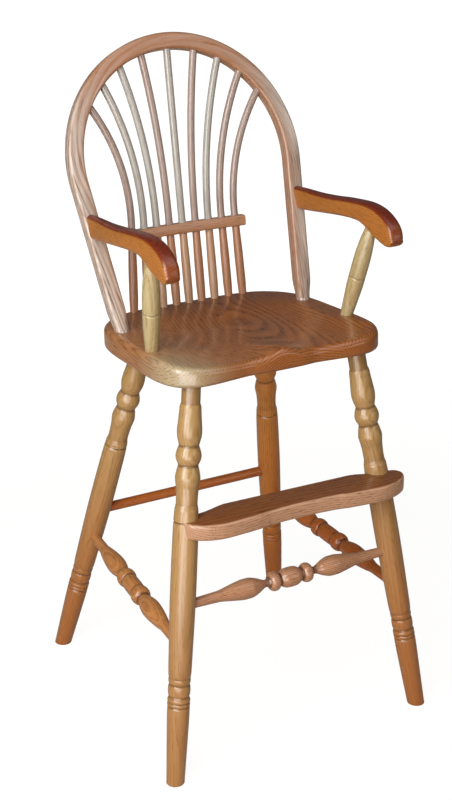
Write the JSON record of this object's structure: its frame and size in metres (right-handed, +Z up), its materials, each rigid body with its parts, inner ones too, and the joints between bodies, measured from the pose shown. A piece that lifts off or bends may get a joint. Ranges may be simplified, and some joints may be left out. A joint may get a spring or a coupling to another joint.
{
  "type": "windsor chair",
  "caption": "Child's high windsor armchair in varnished oak: saddled seat, turned raked legs and stretchers, bent bow with a sheaf of spindles, sawn arms and a footrest board.",
  "frame": {"origin": "on the floor, at the middle of the bounding box's base, midway between the four feet", "axes": "+Z up, -Y towards the front of the chair, +X to the right seen from the front"},
  "size_m": [0.4532, 0.4604, 1.0019],
  "materials": {
    "seat": "gloss varnish",
    "legs": "gloss varnish",
    "stretchers": "gloss varnish",
    "footrest": "gloss varnish",
    "bow": "gloss varnish",
    "spindles": "gloss varnish",
    "arms": "gloss varnish",
    "posts": "gloss varnish",
    "screws": "zinc plated",
    "plugs": "gloss varnish"
  },
  "bodies": {
    "root": {"seat": "seat", "leg_front_left": "legs", "leg_front_right": "legs", "leg_back_left": "legs", "leg_back_right": "legs", "front_stretcher": "stretchers", "side_stretcher_left": "stretchers", "side_stretcher_right": "stretchers", "back_stretcher": "stretchers", "footrest": "footrest", "bow": "bow", "spindle_bar": "arms", "spindle_1": "spindles", "spindle_2": "spindles", "spindle_3": "spindles", "spindle_4": "spindles", "spindle_5": "spindles", "spindle_6": "spindles", "spindle_7": "spindles", "spindle_8": "spindles", "spindle_9": "spindles", "arm_left": "arms", "arm_right": "arms", "arm_post_left": "posts", "arm_post_right": "posts", "arm_screws": "screws", "arm_plugs": "plugs", "footrest_screws": "screws", "footrest_plugs": "plugs"}
  },
  "joints": []
}
